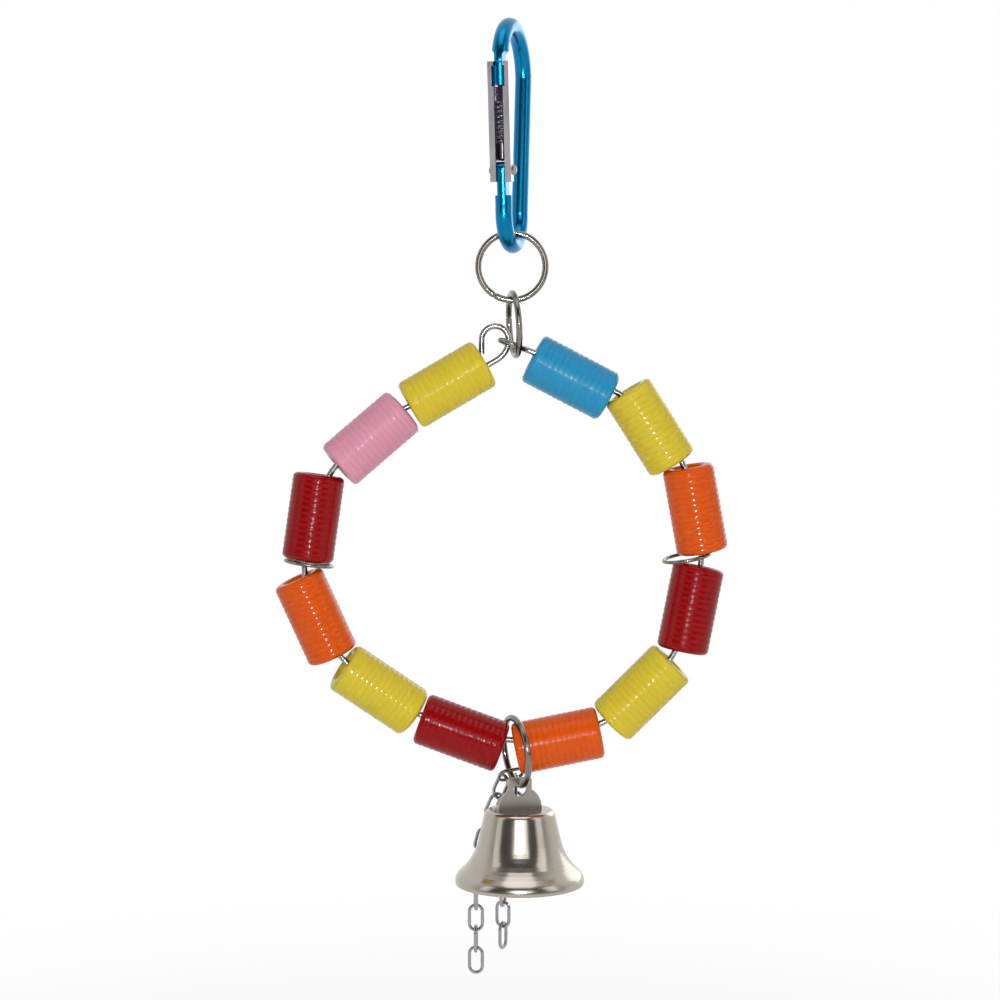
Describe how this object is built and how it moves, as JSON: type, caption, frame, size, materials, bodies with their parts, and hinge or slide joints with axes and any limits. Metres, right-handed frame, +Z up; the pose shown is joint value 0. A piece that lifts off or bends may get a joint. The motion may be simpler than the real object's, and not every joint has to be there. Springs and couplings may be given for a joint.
{
  "type": "bird swing",
  "caption": "Hanging bird swing: a wire hoop threaded with coloured ribbed beads, hung from a snap hook by linked rings, with a bell and two chain tails below.",
  "frame": {"origin": "hang point: the inside of the snap hook's top bend, where it rests on the bar that carries it", "axes": "+X to the right and +Z up in the picture, +Y away from the viewer, across the hoop"},
  "size_m": [0.0921, 0.0298, 0.1982],
  "materials": {
    "anodised_blue": "bright anodised",
    "gate_steel": "satin",
    "gate_parts": "bright",
    "nickel_ring": "nickel plated",
    "wire_steel": "bright",
    "blue": "glossy",
    "yellow": "glossy",
    "orange": "glossy",
    "red": "glossy",
    "pink": "glossy",
    "bell_nickel": "nickel plated",
    "chain_steel": "bright"
  },
  "bodies": {
    "carabiner": {"carabiner_body": "anodised_blue"},
    "gate": {"gate_channel": "gate_steel", "gate_spring": "gate_parts", "gate_plunger": "gate_parts", "gate_rivet": "gate_parts"},
    "top_ring": {"top_ring": "nickel_ring"},
    "connector_ring": {"connector_ring": "nickel_ring"},
    "hoop": {"hoop_wire": "wire_steel"},
    "bead_01_blue": {"bead_01_blue": "blue"},
    "bead_02_yellow": {"bead_02_yellow": "yellow"},
    "bead_03_orange": {"bead_03_orange": "orange"},
    "bead_04_red": {"bead_04_red": "red"},
    "bead_05_yellow": {"bead_05_yellow": "yellow"},
    "bead_06_orange": {"bead_06_orange": "orange"},
    "bead_07_red": {"bead_07_red": "red"},
    "bead_08_yellow": {"bead_08_yellow": "yellow"},
    "bead_09_orange": {"bead_09_orange": "orange"},
    "bead_10_red": {"bead_10_red": "red"},
    "bead_11_pink": {"bead_11_pink": "pink"},
    "bead_12_yellow": {"bead_12_yellow": "yellow"},
    "side_ring_right": {"side_ring_right": "nickel_ring"},
    "side_ring_left": {"side_ring_left": "nickel_ring"},
    "bell_ring": {"bell_ring": "nickel_ring"},
    "bell": {"bell_shell": "bell_nickel", "bell_hanger": "bell_nickel"},
    "bell_clapper": {"bell_clapper": "bell_nickel"},
    "chain_middle_link": {"chain_middle_link": "chain_steel"},
    "chain_left_1": {"chain_left_1": "chain_steel"},
    "chain_left_2": {"chain_left_2": "chain_steel"},
    "chain_left_3": {"chain_left_3": "chain_steel"},
    "chain_left_4": {"chain_left_4": "chain_steel"},
    "chain_left_5": {"chain_left_5": "chain_steel"},
    "chain_left_6": {"chain_left_6": "chain_steel"},
    "chain_left_7": {"chain_left_7": "chain_steel"},
    "chain_left_8": {"chain_left_8": "chain_steel"},
    "chain_left_9": {"chain_left_9": "chain_steel"},
    "chain_left_10": {"chain_left_10": "chain_steel"},
    "chain_right_1": {"chain_right_1": "chain_steel"},
    "chain_right_2": {"chain_right_2": "chain_steel"},
    "chain_right_3": {"chain_right_3": "chain_steel"},
    "chain_right_4": {"chain_right_4": "chain_steel"},
    "chain_right_5": {"chain_right_5": "chain_steel"},
    "chain_right_6": {"chain_right_6": "chain_steel"},
    "chain_right_7": {"chain_right_7": "chain_steel"},
    "chain_right_8": {"chain_right_8": "chain_steel"},
    "chain_right_9": {"chain_right_9": "chain_steel"}
  },
  "joints": [
    {"name": "gate_hinge", "type": "hinge", "parent": "carabiner", "child": "gate", "pos_m": [-0.00187, -0.00697, -0.02845], "axis": [-0.9659, 0.2588, 0], "range_deg": [0, 30], "stiffness_Nm_per_rad": 0.02, "springref_deg": -57.3},
    {"name": "top_ring_swing", "type": "hinge", "parent": "carabiner", "child": "top_ring", "pos_m": [0, 0, -0.0427], "axis": [0.2588, 0.9659, 0], "range_deg": [-25, 25]},
    {"name": "connector_swing", "type": "hinge", "parent": "top_ring", "child": "connector_ring", "pos_m": [0, 0, -0.05395], "axis": [1, 0, 0], "range_deg": [-30, 30]},
    {"name": "hoop_swing", "type": "hinge", "parent": "connector_ring", "child": "hoop", "pos_m": [0.00089, 0, -0.06522], "axis": [-0.1478, 0.989, 0], "range_deg": [-15, 15]},
    {"name": "bead_01_blue_spin", "type": "hinge", "parent": "hoop", "child": "bead_01_blue", "pos_m": [0.01197, 0, -0.06976], "axis": [0.8865, 0.0349, -0.4615], "continuous": true},
    {"name": "bead_02_yellow_spin", "type": "hinge", "parent": "hoop", "child": "bead_02_yellow", "pos_m": [0.02813, 0, -0.07984], "axis": [0.536, 0.0698, -0.8413], "continuous": true},
    {"name": "bead_03_orange_spin", "type": "hinge", "parent": "hoop", "child": "bead_03_orange", "pos_m": [0.03734, 0, -0.09651], "axis": [0.1815, 0.0872, -0.9795], "continuous": true},
    {"name": "bead_04_red_spin", "type": "hinge", "parent": "hoop", "child": "bead_04_red", "pos_m": [0.03637, 0, -0.11674], "axis": [-0.1993, -0.0175, -0.9798], "continuous": true},
    {"name": "bead_05_yellow_spin", "type": "hinge", "parent": "hoop", "child": "bead_05_yellow", "pos_m": [0.02638, 0, -0.13387], "axis": [-0.7061, 0.0523, -0.7061], "continuous": true},
    {"name": "bead_06_orange_spin", "type": "hinge", "parent": "hoop", "child": "bead_06_orange", "pos_m": [0.00936, 0, -0.14369], "axis": [-0.9799, 0, -0.1994], "continuous": true},
    {"name": "bead_07_red_spin", "type": "hinge", "parent": "hoop", "child": "bead_07_red", "pos_m": [-0.01029, 0, -0.14213], "axis": [-0.9395, 0.0175, 0.342], "continuous": true},
    {"name": "bead_08_yellow_spin", "type": "hinge", "parent": "hoop", "child": "bead_08_yellow", "pos_m": [-0.02712, 0, -0.13337], "axis": [-0.8091, -0.1564, 0.5665], "continuous": true},
    {"name": "bead_09_orange_spin", "type": "hinge", "parent": "hoop", "child": "bead_09_orange", "pos_m": [-0.03999, 0, -0.11849], "axis": [-0.4052, -0.0872, 0.9101], "continuous": true},
    {"name": "bead_10_red_spin", "type": "hinge", "parent": "hoop", "child": "bead_10_red", "pos_m": [-0.04047, 0, -0.09822], "axis": [0.1392, 0, 0.9903], "continuous": true},
    {"name": "bead_11_pink_spin", "type": "hinge", "parent": "hoop", "child": "bead_11_pink", "pos_m": [-0.02875, 0, -0.08212], "axis": [0.7491, 0.1219, 0.6512], "continuous": true},
    {"name": "bead_12_yellow_spin", "type": "hinge", "parent": "hoop", "child": "bead_12_yellow", "pos_m": [-0.01321, 0, -0.07116], "axis": [0.8604, 0.0523, 0.5068], "continuous": true},
    {"name": "side_ring_right_spin", "type": "hinge", "parent": "hoop", "child": "side_ring_right", "pos_m": [0.03571, 0.00082, -0.10637], "axis": [0.1815, 0.0872, -0.9795], "continuous": true},
    {"name": "side_ring_left_spin", "type": "hinge", "parent": "hoop", "child": "side_ring_left", "pos_m": [-0.04139, 0, -0.10761], "axis": [0.1392, 0, 0.9903], "continuous": true},
    {"name": "bell_ring_swing", "type": "hinge", "parent": "hoop", "child": "bell_ring", "pos_m": [0.00085, 0, -0.1453], "axis": [0.9367, 0.3502, 0], "range_deg": [-12, 12]},
    {"name": "bell_swing", "type": "hinge", "parent": "bell_ring", "child": "bell", "pos_m": [0.00157, 0, -0.15275], "axis": [-0.3502, 0.9367, 0], "range_deg": [-12, 12]},
    {"name": "clapper_swing", "type": "hinge", "parent": "bell", "child": "bell_clapper", "pos_m": [0.00157, 0, -0.16025], "axis": [-0.3502, 0.9367, 0], "range_deg": [-20, 20]},
    {"name": "middle_link_tip", "type": "hinge", "parent": "bell", "child": "chain_middle_link", "pos_m": [-0.00018, 0.0043, -0.15139], "axis": [0.2725, -0.729, -0.628], "range_deg": [-3, 3]},
    {"name": "chain_left_1_swing", "type": "hinge", "parent": "chain_middle_link", "child": "chain_left_1", "pos_m": [-0.0015, 0.00445, -0.15213], "axis": [0.7056, 0.7086, 0], "range_deg": [0, 15]},
    {"name": "chain_left_2_swing", "type": "hinge", "parent": "chain_left_1", "child": "chain_left_2", "pos_m": [-0.00306, 0.00601, -0.15598], "axis": [0.7056, 0.7086, 0], "range_deg": [0, 15]},
    {"name": "chain_left_3_swing", "type": "hinge", "parent": "chain_left_2", "child": "chain_left_3", "pos_m": [-0.00462, 0.00756, -0.15984], "axis": [0.8647, 0.5024, 0], "range_deg": [0, 15]},
    {"name": "chain_left_4_swing", "type": "hinge", "parent": "chain_left_3", "child": "chain_left_4", "pos_m": [-0.00558, 0.00922, -0.16384], "axis": [0.8647, 0.5024, 0], "range_deg": [0, 15]},
    {"name": "chain_left_5_swing", "type": "hinge", "parent": "chain_left_4", "child": "chain_left_5", "pos_m": [-0.00654, 0.01087, -0.16785], "axis": [0.8647, 0.5024, 0], "range_deg": [0, 15]},
    {"name": "chain_left_6_swing", "type": "hinge", "parent": "chain_left_5", "child": "chain_left_6", "pos_m": [-0.0075, 0.01252, -0.17186], "axis": [0.809, 0.5878, 0], "range_deg": [0, 15]},
    {"name": "chain_left_7_swing", "type": "hinge", "parent": "chain_left_6", "child": "chain_left_7", "pos_m": [-0.0075, 0.01252, -0.1763], "axis": [0.809, 0.5878, 0], "range_deg": [-12, 15]},
    {"name": "chain_left_8_swing", "type": "hinge", "parent": "chain_left_7", "child": "chain_left_8", "pos_m": [-0.0075, 0.01252, -0.18074], "axis": [0.809, 0.5878, 0], "range_deg": [-12, 15]},
    {"name": "chain_left_9_swing", "type": "hinge", "parent": "chain_left_8", "child": "chain_left_9", "pos_m": [-0.0075, 0.01252, -0.18518], "axis": [0.809, 0.5878, 0], "range_deg": [-12, 15]},
    {"name": "chain_left_10_swing", "type": "hinge", "parent": "chain_left_9", "child": "chain_left_10", "pos_m": [-0.0075, 0.01252, -0.18962], "axis": [0.809, 0.5878, 0], "range_deg": [-12, 15]},
    {"name": "chain_right_1_swing", "type": "hinge", "parent": "chain_middle_link", "child": "chain_right_1", "pos_m": [0.00085, 0.00533, -0.15213], "axis": [0.9998, 0.0223, 0], "range_deg": [0, 15]},
    {"name": "chain_right_2_swing", "type": "hinge", "parent": "chain_right_1", "child": "chain_right_2", "pos_m": [0.0008, 0.00753, -0.15598], "axis": [0.9998, 0.0223, 0], "range_deg": [0, 15]},
    {"name": "chain_right_3_swing", "type": "hinge", "parent": "chain_right_2", "child": "chain_right_3", "pos_m": [0.00075, 0.00974, -0.15983], "axis": [0.901, 0.4339, 0], "range_deg": [0, 15]},
    {"name": "chain_right_4_swing", "type": "hinge", "parent": "chain_right_3", "child": "chain_right_4", "pos_m": [-0.00011, 0.01151, -0.16381], "axis": [0.901, 0.4339, 0], "range_deg": [0, 15]},
    {"name": "chain_right_5_swing", "type": "hinge", "parent": "chain_right_4", "child": "chain_right_5", "pos_m": [-0.00096, 0.01328, -0.16779], "axis": [0.901, 0.4339, 0], "range_deg": [0, 15]},
    {"name": "chain_right_6_swing", "type": "hinge", "parent": "chain_right_5", "child": "chain_right_6", "pos_m": [-0.00181, 0.01505, -0.17178], "axis": [0.9763, 0.2164, 0], "range_deg": [0, 15]},
    {"name": "chain_right_7_swing", "type": "hinge", "parent": "chain_right_6", "child": "chain_right_7", "pos_m": [-0.00181, 0.01505, -0.17622], "axis": [0.9763, 0.2164, 0], "range_deg": [-12, 15]},
    {"name": "chain_right_8_swing", "type": "hinge", "parent": "chain_right_7", "child": "chain_right_8", "pos_m": [-0.00181, 0.01505, -0.18066], "axis": [0.9763, 0.2164, 0], "range_deg": [-12, 15]},
    {"name": "chain_right_9_swing", "type": "hinge", "parent": "chain_right_8", "child": "chain_right_9", "pos_m": [-0.00181, 0.01505, -0.1851], "axis": [0.9763, 0.2164, 0], "range_deg": [-12, 15]}
  ]
}
